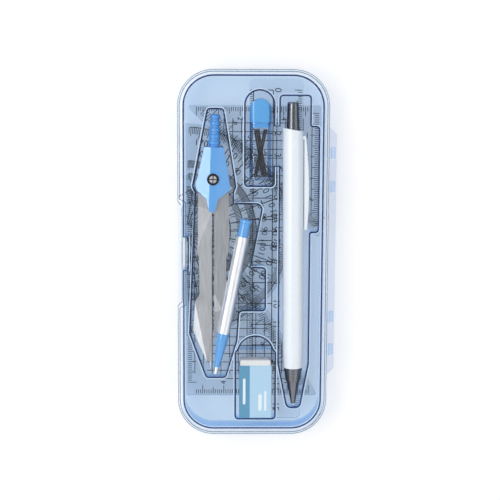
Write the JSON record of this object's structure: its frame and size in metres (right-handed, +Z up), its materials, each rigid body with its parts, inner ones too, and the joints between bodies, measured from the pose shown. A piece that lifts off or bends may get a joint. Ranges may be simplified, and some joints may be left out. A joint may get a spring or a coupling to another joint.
{
  "type": "drafting instrument case",
  "caption": "Slim hinged case of clear blue plastic that holds a compass with a lead holder, a lead case, a mechanical pencil and an eraser in a tray over flat drawing tools.",
  "frame": {"origin": "centre of the case's underside", "axes": "+X towards the hinge, +Y along the case towards the pencil's button, +Z up through the lid"},
  "size_m": [0.0725, 0.17, 0.0182],
  "materials": {
    "clear_blue": "clear, tinted pale blue, gloss",
    "clear": "clear, gloss",
    "tool_clear": "clear, gloss, with fine graduations",
    "head_blue": "satin",
    "handle_blue": "satin, ribbed",
    "leg_metal": "satin, bead blasted",
    "bright_metal": "polished",
    "black_plastic": "matt",
    "washer_plastic": "matt",
    "lead_black": "matt graphite",
    "spring_steel": "drawn wire",
    "cap_blue": "gloss",
    "white_plastic": "gloss",
    "gunmetal": "dark polished",
    "brass": "turned",
    "eraser_white": "matt",
    "sleeve_card": "printed card"
  },
  "bodies": {
    "case": {"base_shell": "clear_blue", "insert_tray": "clear_blue", "ruler": "tool_clear", "protractor": "tool_clear", "set_square_45": "tool_clear", "set_square_60": "tool_clear", "head_front_cover": "head_blue", "head_back_cover": "head_blue", "grip_handle": "handle_blue", "pivot_screw": "bright_metal", "pivot_nut": "bright_metal", "pivot_ring": "black_plastic", "friction_washer": "washer_plastic", "needle_leg": "leg_metal", "needle": "bright_metal", "lead_case_tube": "clear", "spare_leads": "lead_black", "pencil_barrel": "white_plastic", "pencil_nose": "gunmetal", "lead_sleeve": "bright_metal", "clutch_ring": "brass", "pencil_spring": "spring_steel", "eraser_sleeve": "sleeve_card"},
    "lid": {"lid_shell": "clear"},
    "latch": {"latch_tongue": "clear"},
    "push_button": {"pencil_button": "gunmetal", "button_eraser": "eraser_white", "lead_tube": "washer_plastic", "clutch": "brass", "pencil_lead": "lead_black"},
    "clip": {"pencil_clip": "white_plastic"},
    "holder_leg": {"pencil_leg": "leg_metal", "holder_stud": "bright_metal", "holder_barrel": "bright_metal", "holder_nose": "handle_blue", "holder_tip": "bright_metal", "holder_spring": "spring_steel"},
    "press_cap": {"holder_cap": "cap_blue", "holder_push_tube": "washer_plastic", "holder_chuck": "brass", "holder_lead": "lead_black"},
    "case_cap": {"lead_case_cap": "cap_blue"},
    "eraser": {"eraser_block": "eraser_white"}
  },
  "joints": [
    {"name": "lid_hinge", "type": "hinge", "parent": "case", "child": "lid", "pos_m": [0.0364, 0.0015, 0.0126], "axis": [0, 1, 0], "range_deg": [0, 180]},
    {"name": "latch_flex", "type": "hinge", "parent": "lid", "child": "latch", "pos_m": [-0.0335, 0.0006, 0.0137], "axis": [0, 1, 0], "range_deg": [0, 8], "stiffness_Nm_per_rad": 0.05},
    {"name": "pencil_button_press", "type": "slide", "parent": "case", "child": "push_button", "axis": [0.0087, -1, 0], "range_m": [0, 0.0035], "stiffness_N_per_m": 600, "deforming": ["pencil_spring"]},
    {"name": "clip_flex", "type": "hinge", "parent": "case", "child": "clip", "pos_m": [0.02263, 0.05424, 0.0108], "axis": [0, 0, 1], "range_deg": [0, 2.5], "stiffness_Nm_per_rad": 0.5},
    {"name": "compass_leg_swing", "type": "hinge", "parent": "case", "child": "holder_leg", "pos_m": [-0.0184, 0.0352, 0.0088], "axis": [0, 0, 1], "range_deg": [0, 2]},
    {"name": "holder_cap_press", "type": "slide", "parent": "holder_leg", "child": "press_cap", "axis": [-0.1901, -0.9818, 0], "range_m": [0, 0.0025], "stiffness_N_per_m": 500, "deforming": ["holder_spring"]},
    {"name": "lead_case_cap_pull", "type": "slide", "parent": "case", "child": "case_cap", "axis": [0, 1, 0], "range_m": [0, 0.0035]},
    {"name": "eraser_slide", "type": "slide", "parent": "case", "child": "eraser", "axis": [0, 1, 0], "range_m": [0, 0.003]}
  ]
}
